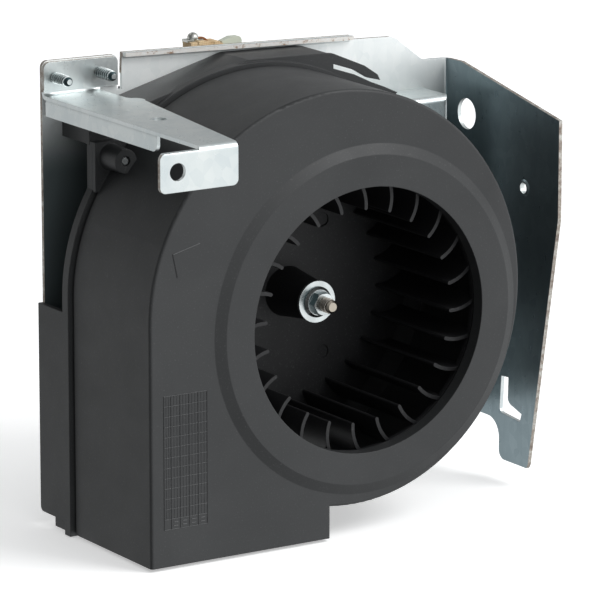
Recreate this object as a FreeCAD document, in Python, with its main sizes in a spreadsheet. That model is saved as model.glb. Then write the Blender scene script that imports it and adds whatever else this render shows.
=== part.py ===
"""Combustion fan: plastic scroll housing, forward-curved wheel, sheet-steel
brackets and a shaded-pole motor with a C-shaped frame.

X points right and Z up, seen from the inlet; Y points back towards the motor.
The origin is on the shaft axis, in the front plane of the raised inlet ring.
All sizes are in millimetres.
"""
import FreeCAD
import Part
import math
import os
import Sketcher

V = FreeCAD.Vector
doc = FreeCAD.newDocument("combustion_fan")

# ----------------------------------------------------------------------------
# Driving sizes: alias, value, meaning
# ----------------------------------------------------------------------------
SIZES = [
    ("wall", 2.0, "thickness of the plastic walls"),
    ("inlet_radius", 50.0, "clear radius of the air inlet"),
    ("ring_base_radius", 65.8, "inlet ring where it meets the front face"),
    ("ring_top_radius", 61.8, "inlet ring at its front plane"),
    ("face_front", 2.0, "front face of the housing, behind the ring's front plane"),
    ("collar_end", 5.5, "rear end of the short collar inside the inlet"),
    ("joint_front", 58.0, "plane where the two housing shells meet"),
    ("groove_width", 1.7, "shadow groove beside that joint"),
    ("groove_depth", 1.0, "depth of the shadow groove"),
    ("back_front", 60.0, "front of the rear shell's back wall"),
    ("back_rear", 62.0, "rear of the rear shell's back wall"),
    ("flange_proud", 1.5, "how far the rear shell's rim stands out"),
    ("scroll_low_radius", 72.95, "first scroll arc, round the bottom"),
    ("scroll_main_radius", 80.75, "second scroll arc, over the top"),
    ("scroll_last_radius", 74.35, "last scroll arc, into the outlet duct"),
    ("scroll_low_x", -5.4, "centre of the first arc"),
    ("scroll_low_z", 3.2, "centre of the first arc"),
    ("duct_right", -15.7, "outer face of the duct's right wall"),
    ("duct_bottom", -81.0, "end of the outlet duct"),
    ("duct_deep_rear", 80.0, "rear of the deep part of the duct"),
    ("duct_deep_top", 2.9, "top of the deep part of the duct"),
    ("duct_deep_bottom", -76.8, "bottom of the deep part of the duct"),
    ("boss_radius", 4.9, "screw bosses that join the shells, at the joint"),
    ("boss_tip_radius", 4.5, "those bosses at their front end"),
    ("boss_front", 45.0, "front end of those bosses"),
    ("boss_hole", 1.9, "their hole radius"),
    ("screw_tip", 45.5, "front ends of the screws in those bosses"),
    ("shaft_hole", 14.0, "hole in the back wall for the hub"),
    ("blade_count", 24.0, "blades on the wheel"),
    ("blade_inner", 40.7, "radius at the inner tips of the blades"),
    ("blade_curve", 16.0, "radius of a blade's curve"),
    ("blade_thick", 1.4, "thickness of a blade"),
    ("blade_front", 7.0, "front ends of the blades"),
    ("wheel_radius", 54.0, "outer radius of the wheel"),
    ("wheel_back", 57.0, "front of the wheel's back plate"),
    ("wheel_rear", 58.6, "rear of the wheel's back plate"),
    ("hub_front", 37.0, "front end of the wheel's hub"),
    ("hub_radius", 7.3, "radius of the hub at its front end"),
    ("hub_base", 9.6, "radius of the hub at the back plate"),
    ("shaft_radius", 3.0, "motor shaft"),
    ("thread_radius", 2.5, "M5 thread at the front of the shaft"),
    ("thread_start", 40.0, "shoulder between shaft and thread"),
    ("shaft_front", 25.0, "front end of the shaft"),
    ("shaft_rear", 140.0, "rear end of the shaft"),
    ("sheet", 1.5, "thickness of the steel sheet"),
    ("plate_front", 80.0, "front face of the rear plate"),
    ("plate_left", -91.6, "left edge of the rear plate"),
    ("plate_top", 93.5, "top of the rear plate at its left end"),
    ("plate_bottom", -59.0, "bottom edge of the rear plate"),
    ("side_face", 88.0, "inner face of the side flange"),
    ("side_front", 5.2, "front edge of the side flange"),
    ("arm_top", 80.7, "top face of the arm"),
    ("arm_front", -31.5, "front face of the arm's tab"),
    ("bend", 1.2, "inside radius of the sheet bends"),
    ("pan_left", -52.0, "left side of the motor pan"),
    ("pan_right", 77.0, "right end of the motor pan"),
    ("pan_top", 66.3, "top face of the motor pan"),
    ("pan_bottom", -58.0, "bottom face of the motor pan"),
    ("core_front", 98.0, "front of the lamination stack"),
    ("core_rear", 120.0, "rear of the lamination stack"),
    ("core_half", 36.0, "half width of the lamination stack"),
    ("core_top", 72.0, "top of the lamination stack"),
    ("core_bottom", -34.0, "bottom of the lamination stack"),
    ("window_half", 14.0, "half width of the coil window"),
    ("window_floor", 34.0, "floor of the coil window"),
    ("limb_bottom", 52.0, "underside of the limb that carries the coil"),
    ("bore_radius", 22.4, "stator bore"),
    ("rotor_radius", 22.0, "rotor"),
    ("bolt_x", 30.0, "motor bolts, left and right of the shaft"),
    ("coil_grow", 7.5, "thickness of the winding round its limb"),
    ("bearing_radius", 6.5, "outside of the sintered bearings"),
    ("running_gap", 0.04, "radial play of the shaft in its bearings"),
]


class Size:
    """A length that carries its number and its spreadsheet expression."""

    def __init__(self, value, text):
        self.value = value
        self.text = text

    def __add__(self, other):
        other = as_size(other)
        return Size(self.value + other.value, "(%s + %s)" % (self.text, other.text))

    def __sub__(self, other):
        other = as_size(other)
        return Size(self.value - other.value, "(%s - %s)" % (self.text, other.text))

    def __rsub__(self, other):
        return as_size(other) - self

    def __mul__(self, other):
        other = as_size(other)
        return Size(self.value * other.value, "(%s * %s)" % (self.text, other.text))

    def __truediv__(self, other):
        other = as_size(other)
        return Size(self.value / other.value, "(%s / %s)" % (self.text, other.text))

    def __neg__(self):
        return Size(-self.value, "(0 - %s)" % self.text)

    __radd__ = __add__
    __rmul__ = __mul__


def as_size(amount):
    if isinstance(amount, Size):
        return amount
    return Size(float(amount), "(%.9g)" % amount if amount < 0 else "%.9g" % amount)


class Names:
    """Holds one Size for each spreadsheet alias."""


sheet = doc.addObject("Spreadsheet::Sheet", "Sizes")
D = Names()
for row, (alias, number, meaning) in enumerate(SIZES, start=1):
    sheet.set("A%d" % row, alias)
    sheet.set("B%d" % row, "%.9g" % number)
    sheet.set("C%d" % row, meaning)
    sheet.setAlias("B%d" % row, alias)
    setattr(D, alias, Size(number, "Sizes." + alias))
doc.recompute()


# ----------------------------------------------------------------------------
# Helpers: every size is bound to the spreadsheet by an expression
# ----------------------------------------------------------------------------
def bind(item, prop, amount):
    item.setExpression(prop, as_size(amount).text)


def move_to(item, x, y, z, rotation=None):
    if rotation is not None:
        item.Placement = FreeCAD.Placement(V(0, 0, 0), rotation)
    for letter, amount in zip("xyz", (x, y, z)):
        bind(item, "Placement.Base." + letter, amount)


def block(name, x, y, z):
    """A box from three (low, high) pairs."""
    item = doc.addObject("Part::Box", name)
    for prop, (low, high) in zip(("Length", "Width", "Height"), (x, y, z)):
        bind(item, prop, as_size(high) - low)
    move_to(item, x[0], y[0], z[0])
    return item


TURNS = {
    "X": FreeCAD.Rotation(V(0, 1, 0), 90),
    "Y": FreeCAD.Rotation(V(1, 0, 0), -90),
    "Z": FreeCAD.Rotation(),
}


def rod(name, centre, radius, low, high, axis="Y"):
    """A cylinder along an axis; centre gives the other two coordinates in XYZ order."""
    item = doc.addObject("Part::Cylinder", name)
    bind(item, "Radius", radius)
    bind(item, "Height", as_size(high) - low)
    place = list(centre)
    place.insert("XYZ".index(axis), low)
    move_to(item, place[0], place[1], place[2], TURNS[axis])
    return item


def cone(name, centre, radius_low, radius_high, low, high, axis="Y"):
    item = doc.addObject("Part::Cone", name)
    bind(item, "Radius1", radius_low)
    bind(item, "Radius2", radius_high)
    bind(item, "Height", as_size(high) - low)
    place = list(centre)
    place.insert("XYZ".index(axis), low)
    move_to(item, place[0], place[1], place[2], TURNS[axis])
    return item


def fuse(name, items):
    if len(items) == 1:
        return items[0]
    item = doc.addObject("Part::MultiFuse", name)
    item.Shapes = items
    item.Refine = True
    return item


def cut(name, base, tools):
    item = doc.addObject("Part::Cut", name)
    item.Base = base
    item.Tool = fuse(name + "_tools", tools)
    item.Refine = True
    return item


def common(name, first, second):
    item = doc.addObject("Part::Common", name)
    item.Base = first
    item.Tool = second
    item.Refine = True
    return item


def group(name, items):
    item = doc.addObject("Part::Compound", name)
    item.Links = items
    return item


def tube(name, centre, inner, outer, low, high, axis="Y"):
    skin = rod(name + "_outer", centre, outer, low, high, axis)
    hole = rod(name + "_inner", centre, inner, low, high, axis)
    return cut(name, skin, [hole])


def rounded(name, base, radius, picker):
    """Part::Fillet on the edges of base that picker accepts."""
    doc.recompute()
    edges = []
    for index, edge in enumerate(base.Shape.Edges, start=1):
        if picker(edge):
            edges.append((index, radius, radius))
    if not edges:
        raise ValueError("no edge to round on " + name)
    item = doc.addObject("Part::Fillet", name)
    item.Base = base
    item.Edges = edges
    return item


PLANES = {
    # plane: (role of the origin plane, sign of its normal along the pad's axis)
    "XY": ("XY_Plane", 1),
    "XZ": ("XZ_Plane", -1),
    "YZ": ("YZ_Plane", 1),
}


def pad(name, plane, loops, low, high):
    """A body whose sketch holds closed loops, padded from low to high.

    A loop is ("circle", u, v, radius) or a list of corners. A corner is (u, v), or
    (u, v, radius, side) when an arc leads to it: side 1 turns left, -1 turns right.
    """
    body = doc.addObject("PartDesign::Body", name)
    sketch = body.newObject("Sketcher::SketchObject", name + "_sketch")
    role, sign = PLANES[plane]
    for feature in body.Origin.OriginFeatures:
        if feature.Role == role:
            sketch.AttachmentSupport = (feature, [""])
    sketch.MapMode = "FlatFace"
    start = as_size(low) if sign > 0 else -as_size(high)
    bind(sketch, "AttachmentOffset.Base.z", start)
    for loop in loops:
        if loop[0] == "circle":
            add_circle(sketch, as_size(loop[1]), as_size(loop[2]), as_size(loop[3]))
        else:
            add_outline(sketch, loop)
    step = body.newObject("PartDesign::Pad", name + "_pad")
    step.Profile = sketch
    bind(step, "Length", as_size(high) - low)
    body.Tip = step
    sketch.Visibility = False
    return body


def hold(sketch, geometry, point, u, v):
    """Locates one sketch point from the sketch's origin."""
    for kind, amount in (("DistanceX", u), ("DistanceY", v)):
        row = sketch.addConstraint(
            Sketcher.Constraint(kind, -1, 1, geometry, point, amount.value))
        sketch.setExpression("Constraints[%d]" % row, amount.text)


def add_circle(sketch, u, v, radius):
    line = sketch.addGeometry(Part.Circle(V(u.value, v.value, 0), V(0, 0, 1), radius.value))
    hold(sketch, line, 3, u, v)
    row = sketch.addConstraint(Sketcher.Constraint("Radius", line, radius.value))
    sketch.setExpression("Constraints[%d]" % row, radius.text)


def add_outline(sketch, corners):
    points = []
    for corner in corners:
        points.append((as_size(corner[0]), as_size(corner[1])))
    spots = [V(u.value, v.value, 0) for u, v in points]
    ends = []
    for index, corner in enumerate(corners):
        first, last = spots[index - 1], spots[index]
        if len(corner) == 2:
            line = sketch.addGeometry(Part.LineSegment(first, last))
            ends.append((line, 1, 2))
            continue
        radius, side = as_size(corner[2]), corner[3]
        line = sketch.addGeometry(arc_between(first, last, radius.value, side))
        row = sketch.addConstraint(Sketcher.Constraint("Radius", line, radius.value))
        sketch.setExpression("Constraints[%d]" % row, radius.text)
        ends.append((line, 1, 2) if side > 0 else (line, 2, 1))
    for index, (line, start, finish) in enumerate(ends):
        before, _, before_finish = ends[index - 1]
        sketch.addConstraint(
            Sketcher.Constraint("Coincident", before, before_finish, line, start))
        hold(sketch, line, finish, points[index][0], points[index][1])


def arc_between(first, last, radius, side):
    """The short arc from first to last, turning left (1) or right (-1)."""
    middle = (first + last) * 0.5
    chord = last - first
    half = chord.Length / 2
    rise = math.sqrt(max(radius * radius - half * half, 0.0))
    normal = V(-chord.y, chord.x, 0).normalize()
    centre = middle + normal * rise * side
    begin, end = (first, last) if side > 0 else (last, first)
    start_angle = math.atan2(begin.y - centre.y, begin.x - centre.x)
    end_angle = math.atan2(end.y - centre.y, end.x - centre.x)
    circle = Part.Circle(centre, V(0, 0, 1), radius)
    return Part.ArcOfCircle(circle, start_angle, end_angle)


def round_rect(x0, x1, z0, z1, r):
    """Corners of a rectangle with rounded corners, anticlockwise."""
    return [
        (x0 + r, z0), (x1 - r, z0), (x1, z0 + r, r, 1), (x1, z1 - r),
        (x1 - r, z1, r, 1), (x0 + r, z1), (x0, z1 - r, r, 1), (x0, z0 + r),
        (x0 + r, z0, r, 1),
    ][1:]


nodes = []


def node(label, item):
    item.Label = label
    nodes.append(item)
    return item


# ----------------------------------------------------------------------------
# The scroll: three tangent arcs, then straight walls down to the outlet
# ----------------------------------------------------------------------------
LOW_END = math.radians(-22.6)       # where the first arc hands over to the second
MAIN_END = math.radians(157.2)      # where the second arc hands over to the last


def scroll_centres():
    """Centres of the three arcs; each is in line with the joint to the next."""
    low = (D.scroll_low_x, D.scroll_low_z)
    step = D.scroll_low_radius - D.scroll_main_radius
    main = (low[0] + step * math.cos(LOW_END), low[1] + step * math.sin(LOW_END))
    step = D.scroll_main_radius - D.scroll_last_radius
    last = (main[0] + step * math.cos(MAIN_END), main[1] + step * math.sin(MAIN_END))
    return low, main, last


def scroll_outline(grow, bottom):
    """Outline of the scroll and its outlet, grown outwards by grow."""
    low, main, last = scroll_centres()
    low_radius = D.scroll_low_radius + grow
    main_radius = D.scroll_main_radius + grow
    last_radius = D.scroll_last_radius + grow
    right = D.duct_right + grow
    left = last[0] - last_radius
    # the right wall meets the first arc; the drop follows from the arc's equation
    reach = right - low[0]
    inside = low_radius * low_radius - reach * reach
    meet = low[1] - Size(math.sqrt(inside.value), "sqrt(%s)" % inside.text)
    return [
        (left, bottom),
        (right, bottom),
        (right, meet),
        (low[0] + low_radius * math.cos(LOW_END), low[1] + low_radius * math.sin(LOW_END),
         low_radius, 1),
        (main[0] + main_radius * math.cos(math.pi / 2), main[1] + main_radius, main_radius, 1),
        (main[0] + main_radius * math.cos(MAIN_END), main[1] + main_radius * math.sin(MAIN_END),
         main_radius, 1),
        (left, last[1], last_radius, 1),
    ]


DUCT_LEFT = scroll_centres()[2][0] - D.scroll_last_radius

# places of the screws that join the two shells (x, z)
CORNER_BOSS = (-76.8, 60.3)
FOOT_BOSS = (-3.5, -75.5)
SIDE_BOSSES = [(62.0, 50.0), (58.0, -50.0)]
SHELL_BOSSES = [CORNER_BOSS, FOOT_BOSS] + SIDE_BOSSES


def front_shell():
    skin = pad("shell_skin", "XZ", [scroll_outline(0, D.duct_bottom)],
               D.face_front, D.joint_front - D.groove_width)
    neck = pad("shell_neck", "XZ", [scroll_outline(-D.groove_depth, D.duct_bottom)],
               D.joint_front - D.groove_width, D.joint_front)
    ring = cone("ring_step", (0, 0), D.ring_top_radius, D.ring_base_radius, 0, D.face_front)
    collar = rod("inlet_collar", (0, 0), D.inlet_radius + D.wall, D.face_front, D.collar_end)
    inside = pad("shell_inside", "XZ", [scroll_outline(-D.wall, D.duct_bottom - 5)],
                 D.face_front + D.wall, D.joint_front + 5)
    ring_inside = cone("ring_inside", (0, 0), D.ring_top_radius - D.wall,
                       D.ring_base_radius - D.wall, D.wall, D.face_front + D.wall)
    skin_round = rounded("shell_round", skin, 1.2, at_front_corner)
    bosses = []
    holes = []
    for number, spot in enumerate(SHELL_BOSSES):
        bosses.append(cone("boss_%d" % number, spot, D.boss_tip_radius, D.boss_radius,
                           D.boss_front, D.joint_front))
        holes.append(rod("boss_hole_%d" % number, spot, D.boss_hole,
                         D.boss_front - 1, D.joint_front + 1))
    webs = boss_webs("boss_web", D.boss_front + 5, D.joint_front)
    webs.append(corner_flange("front_flange", D.joint_front - 2, D.joint_front))
    hollow = cut("shell_hollow", fuse("shell_solid", [skin_round, neck, ring]),
                 [inside, ring_inside])
    with_collar = fuse("shell_with_collar", [hollow, collar] + bosses + webs)
    opening = rod("inlet_hole", (0, 0), D.inlet_radius, -1, D.collar_end + 1)
    return node("front_shell", cut("front_shell", with_collar, [opening] + holes))


WEB_LENGTH = {CORNER_BOSS: 5.0, FOOT_BOSS: 6.5, SIDE_BOSSES[0]: 6.5, SIDE_BOSSES[1]: 10.5}
WEB_HALF = 2.0          # half the thickness of the ribs behind the bosses


def boss_webs(name, low, high):
    """Short ribs that carry the screw bosses on the scroll's outline."""
    ribs = []
    for number, spot in enumerate(SHELL_BOSSES):
        x, z = spot
        rib = block("%s_%d" % (name, number), (0, WEB_LENGTH[spot]), (low, high),
                    (0, 2 * WEB_HALF))
        turn = FreeCAD.Rotation(V(0, 1, 0), math.degrees(math.atan2(z, -x)))
        length = math.hypot(x, z)
        move_to(rib, x - WEB_HALF * z / length, low, z + WEB_HALF * x / length, turn)
        ribs.append(rib)
    return ribs


def corner_flange(name, low, high):
    """Square corner that backs the screw boss at the top left."""
    return block(name, (-83.3, -72.0), (low, high), (47.5, 66.0))


def at_front_corner(edge):
    """The long edges round the housing's front face."""
    box = edge.BoundBox
    flat = box.YLength < 0.01 and abs(box.YMin - D.face_front.value) < 0.01
    return flat and box.ZMax > D.duct_bottom.value + 1


def rear_shell():
    rim = pad("rear_rim", "XZ", [scroll_outline(D.flange_proud, D.duct_bottom - 0.9)],
              D.joint_front, D.back_rear)
    recess = pad("rear_recess", "XZ", [scroll_outline(-D.wall, D.duct_bottom - 5)],
                 D.joint_front - 1, D.back_front)
    left = DUCT_LEFT - D.flange_proud
    right = D.duct_right + D.flange_proud
    deep = block("deep_duct", (left, right), (D.back_front, D.duct_deep_rear),
                 (D.duct_deep_bottom, D.duct_deep_top))
    deep_round = rounded("deep_round", deep, 2.0, at_deep_bottom_rear)
    deep_inside = block("deep_inside", (left + D.wall, right - D.wall),
                        (D.back_front, D.duct_deep_rear - D.wall),
                        (D.duct_bottom - 5, D.duct_deep_top - 6))
    deep_roof = block("deep_roof_recess", (left + D.wall, right + 1),
                      (D.back_rear + 1.5, D.duct_deep_rear + 1),
                      (D.duct_deep_top - 4, D.duct_deep_top + 1))
    spigot = [
        block("spigot_left", (left + 0.8, left + 2.4), (D.back_front, 70.5),
              (D.duct_bottom + 0.3, D.duct_deep_bottom + 4)),
        block("spigot_right", (right - 2.4, right - 0.8), (D.back_front, 70.5),
              (D.duct_bottom + 0.3, D.duct_deep_bottom + 4)),
    ]
    hood = roof_hood()
    feet = []
    foot_holes = []
    for number, spot in enumerate(DUCT_SCREWS):
        feet.append(rod("duct_foot_%d" % number, spot, 4.0, 70, D.duct_deep_rear - D.wall / 2))
        foot_holes.append(rod("duct_foot_hole_%d" % number, spot, 1.7, 71,
                              D.duct_deep_rear + 1))
    ears = []
    ear_holes = []
    for number, spot in enumerate(SHELL_BOSSES):
        ears.append(rod("ear_%d" % number, spot, D.boss_radius, D.joint_front, D.back_rear))
        ear_holes.append(rod("ear_hole_%d" % number, spot, 2.0, D.joint_front - 1,
                             D.back_rear + 1))
    ears += boss_webs("ear_web", D.joint_front, D.back_rear)
    ears.append(corner_flange("rear_flange", D.joint_front, D.back_rear))
    shaft_way = rod("shaft_way", (0, 0), D.shaft_hole, D.back_front - 1, D.back_rear + 1)
    solid = fuse("rear_solid", [rim, deep_round, hood] + ears)
    hollow = cut("rear_hollow", solid, [recess, deep_inside, deep_roof])
    with_feet = fuse("rear_with_feet", [hollow] + feet + spigot)
    tools = foot_holes + ear_holes + [shaft_way]
    return node("rear_shell", cut("rear_shell", with_feet, tools))


def at_deep_bottom_rear(edge):
    box = edge.BoundBox
    low = box.ZMax < D.duct_deep_bottom.value + 0.01
    return low and box.YMin > D.duct_deep_rear.value - 0.01


DUCT_SCREWS = [(-72.0, -22.0), (-38.0, -40.0)]


HOOD_TOP = [(-83.4, 71.0), (-59.4, 77.5), (-21.5, 87.6), (-15.0, 89.4), (18.0, 88.6),
            (21.0, 88.2)]
# two fingers reach on to the right of the roof, with a slit between them
HOOD_UPPER_FINGER = [(22.8, 88.0), (36.7, 82.1), (42.7, 78.1), (43.9, 75.8), (38.2, 77.3),
                     (32.3, 80.8), (22.8, 84.0)]
HOOD_LOWER_FINGER = [(22.8, 82.3), (32.3, 79.1), (39.7, 75.5), (45.7, 73.1), (51.7, 70.3),
                     (51.0, 69.6), (32.3, 75.3), (22.8, 78.2)]
HOOD_FRONT_LOW = [(18.0, 80.0), (-15.0, 84.0), (-60.0, 60.0), (-70.0, 64.7), (-83.4, 64.7)]


def roof_hood():
    """Roof over the gap between the back wall and the plate, closed at its front."""
    wall = D.wall.value
    under = []
    for x, z in reversed(HOOD_TOP[1:]):
        size = math.hypot(x, z)
        under.append((x * (1 - wall / size), z * (1 - wall / size)))
    inner_left = HOOD_TOP[0][0] + wall
    under += [(inner_left, 71.5 - wall), (inner_left, 64.7), (HOOD_TOP[0][0], 64.7)]
    roof = pad("hood_roof", "XZ", [HOOD_TOP + under], D.back_front, D.plate_front - 0.3)
    outline = HOOD_TOP + HOOD_UPPER_FINGER + HOOD_LOWER_FINGER + HOOD_FRONT_LOW
    front = pad("hood_front", "XZ", [outline], D.back_front, D.back_rear)
    return fuse("roof_hood", [roof, front])


# ----------------------------------------------------------------------------
# The wheel and what holds it
# ----------------------------------------------------------------------------
def impeller():
    inner = D.blade_inner
    curve = D.blade_curve
    sweep = math.radians(48)
    half = D.blade_thick / 2
    # one blade: radial at its inner tip, then curving forwards
    far = (inner + curve * math.sin(sweep), curve * (1 - math.cos(sweep)))
    aim = (math.sin(sweep), -math.cos(sweep))
    blade = pad("blade", "XZ", [[
        (inner - half, 0, half, 1),
        (inner, -half, half, 1),
        (far[0] + aim[0] * half, far[1] + aim[1] * half, curve + half, 1),
        (far[0] - aim[0] * half, far[1] - aim[1] * half),
        (inner, half, curve - half, -1),
    ]], D.blade_front, D.wheel_back)
    pattern = doc.addObject("PartDesign::PolarPattern", "blade_pattern")
    blade.addObject(pattern)
    pattern.Originals = [blade.Tip]
    for feature in blade.Origin.OriginFeatures:
        if feature.Role == "Y_Axis":
            pattern.Axis = (feature, [""])
    pattern.Angle = 360
    pattern.Occurrences = int(D.blade_count.value)
    blade.Tip = pattern
    blade.Placement = FreeCAD.Placement(V(0, 0, 0), FreeCAD.Rotation(V(0, 1, 0), -FIRST_BLADE))
    plate = rod("wheel_plate", (0, 0), D.wheel_radius, D.wheel_back, D.wheel_rear)
    ring = tube("wheel_ring", (0, 0), D.wheel_radius - 3.4, D.wheel_radius,
                D.blade_front, D.blade_front + 2)
    ring_place = tube("ring_place", (0, 0), D.wheel_radius - 3.4, D.wheel_radius + 1,
                      D.blade_front - 1, D.blade_front + 2)
    hub = cone("hub", (0, 0), D.hub_radius, D.hub_base, D.hub_front, D.wheel_back)
    thread_way = rod("thread_way", (0, 0), D.thread_radius, D.hub_front - 1, D.thread_start)
    shaft_way = rod("hub_bore", (0, 0), D.shaft_radius, D.thread_start, D.wheel_rear + 1)
    dimples = []
    for x, z in ((16.2, 25.6), (16.2, -25.6)):
        dimples.append(rod("dimple", (x, z), 2.6, D.wheel_back - 0.6, D.wheel_back + 0.8))
    disc = fuse("disc_solid", [plate, hub])
    node("impeller_disc", cut("impeller_disc", disc, [thread_way, shaft_way] + dimples))
    node("impeller_blades", cut("impeller_blades", blade, [ring_place]))
    node("impeller_ring", ring)


FIRST_BLADE = 11.1      # degrees from +X to the first blade, anticlockwise from the front


def wheel_fastening():
    washer = tube("impeller_washer", (0, 0), D.thread_radius, 7.95, D.hub_front - 1.2,
                  D.hub_front)
    node("impeller_washer", washer)
    seat = D.hub_front - 1.2
    collar = cone("nut_collar", (0, 0), 4.9, 5.9, seat - 1.6, seat - 0.5)
    rim = rod("nut_rim", (0, 0), 5.9, seat - 0.5, seat)
    hexagon = doc.addObject("Part::Prism", "nut_hexagon")
    hexagon.Polygon = 6
    bind(hexagon, "Circumradius", 4.62)
    bind(hexagon, "Height", 4.0)
    move_to(hexagon, 0, seat - 5.2, 0, FreeCAD.Rotation(V(1, 0, 0), -90))
    chamfer = cone("nut_chamfer", (0, 0), 4.1, 5.5, seat - 5.2, seat - 3.8)
    chamfer_body = rod("nut_limit", (0, 0), 5.5, seat - 3.8, seat)
    trimmed = common("nut_trimmed", hexagon, fuse("nut_envelope", [chamfer, chamfer_body]))
    way = rod("nut_way", (0, 0), D.thread_radius, seat - 6, seat + 1)
    node("flange_nut", cut("flange_nut", fuse("nut_solid", [trimmed, collar, rim]), [way]))


def shaft():
    tip = cone("shaft_tip", (0, 0), D.thread_radius - 0.8, D.thread_radius,
               D.shaft_front, D.shaft_front + 0.8)
    thread = rod("shaft_thread", (0, 0), D.thread_radius, D.shaft_front + 0.8, D.thread_start)
    main = rod("shaft_main", (0, 0), D.shaft_radius, D.thread_start, D.shaft_rear - 0.6)
    end = cone("shaft_end", (0, 0), D.shaft_radius, D.shaft_radius - 0.6,
               D.shaft_rear - 0.6, D.shaft_rear)
    node("motor_shaft", fuse("motor_shaft", [tip, thread, main, end]))


# ----------------------------------------------------------------------------
# Sheet-steel brackets
# ----------------------------------------------------------------------------
def rear_plate():
    """Upright plate with a side flange that comes forward along the housing."""
    front, back = D.plate_front, D.plate_front + D.sheet
    inner, outer = D.side_face, D.side_face + D.sheet
    small, large = D.bend, D.bend + D.sheet
    profile = [
        (D.plate_left, front), (D.plate_left, back), (inner - small, back),
        (outer, front - small, large, -1), (outer, D.side_front), (inner, D.side_front),
        (inner, front - small), (inner - small, front, small, 1),
    ]
    folded = pad("plate_folded", "XY", [profile], -76, 96)
    return node("rear_plate", finish_plate(folded))


def finish_plate(folded):
    front, back = D.plate_front, D.plate_front + D.sheet
    top = D.plate_top
    upright = [
        (D.plate_left, D.plate_bottom), (91.0, D.plate_bottom), (91.0, 76.8), (80.0, 77.2),
        (75.0, 78.6, 6.0, -1), (65.8, 85.6), (60.0, 87.8, 8.0, 1), (43.3, 88.4),
        (43.3, top - 3.4), (-57.6, top - 0.1), (-57.6, 79.6), (-59.8, 79.6), (-59.8, top - 2.5),
        (-61.8, top - 0.6, 2.0, 1), (D.plate_left + 2.5, top - 0.2),
        (D.plate_left, top - 2.7, 2.5, 1),
    ]
    side = [
        (D.side_front + 19.0, -74.6, 5.0, 1), (38.6, -74.6), (42.5, -71.2, 3.6, 1), (42.5, -66.5),
        (50.0, D.plate_bottom, 7.6, -1), (83.0, D.plate_bottom), (83.0, 76.8), (70.3, 77.0),
        (D.side_front, 64.4), (D.side_front, 26.4), (D.side_front + 17.6, -71.3),
    ]
    keep_upright = pad("keep_upright", "XZ", [upright], front - 2.7, back + 0.5)
    keep_side = pad("keep_side", "YZ", [side], D.side_face - 2.7, D.side_face + D.sheet + 0.5)
    shaped = common("plate_shaped", folded, fuse("plate_keep", [keep_upright, keep_side]))
    lip = top_lip()
    side_span = (D.side_face - 1, D.side_face + D.sheet + 1)
    big_hole = rod("service_hole", (66.2, 57.2), 6.05, side_span[0], side_span[1], "X")
    collar = cone("tapped_collar", (27.2, 34.9), 2.6, 3.3, D.side_face - 0.6, D.side_face, "X")
    tapped = rod("tapped_hole", (27.2, 34.9), 2.1, D.side_face - 2, D.side_face + 5, "X")
    slot = pad("l_slot", "YZ", [[
        (36.5, -41.2), (36.8, -49.6), (34.6, -51.8, 3.0, -1), (27.6, -53.9), (28.7, -57.2),
        (40.6, -56.2), (42.2, -54.6, 2.5, 1), (41.2, -41.5),
    ]], side_span[0], side_span[1])
    cup_hole = rod("cup_hole", (0, 0), 14.0, front - 1, back + 1)
    plate_holes = []
    for number, spot in enumerate(ARM_SCREWS):
        plate_holes.append(rod("arm_hole_%d" % number, spot, 1.7, front - 1, back + 1))
    for number, spot in enumerate(DUCT_SCREWS):
        plate_holes.append(rod("duct_hole_%d" % number, spot, 2.2, front - 1, back + 1))
    for number, spot in enumerate(SIDE_BOSSES):
        plate_holes.append(rod("driver_hole_%d" % number, spot, 5.0, front - 1, back + 1))
    for side in (-1, 1):
        plate_holes.append(rod("bolt_thread", (D.bolt_x * side, 0), 2.0, front - 1, back + 1))
    solid = fuse("plate_solid", [shaped, lip, collar])
    return cut("rear_plate", solid, [big_hole, tapped, slot, cup_hole] + plate_holes)


def top_lip():
    """Stiffening lip along the plate's top edge, folded to the front."""
    front, back = D.plate_front, D.plate_front + D.sheet
    small, large = D.bend, D.bend + D.sheet
    reach = 2.8
    profile = [
        (front - reach, 0), (front - reach, -D.sheet), (front - small, -D.sheet),
        (front, -large, small, -1), (front, -8.0), (back, -8.0), (back, -large),
        (back - large, 0, large, 1),
    ]
    lip = pad("lip_folded", "YZ", [profile], 0, 100.9)
    lip.Placement = FreeCAD.Placement(V(0, 0, 0), FreeCAD.Rotation(V(0, 1, 0), 1.9))
    bind(lip, "Placement.Base.x", -57.6)
    bind(lip, "Placement.Base.z", D.plate_top)
    return lip


ARM_SCREWS = [(-87.0, 87.0), (-68.2, 87.2)]


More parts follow.
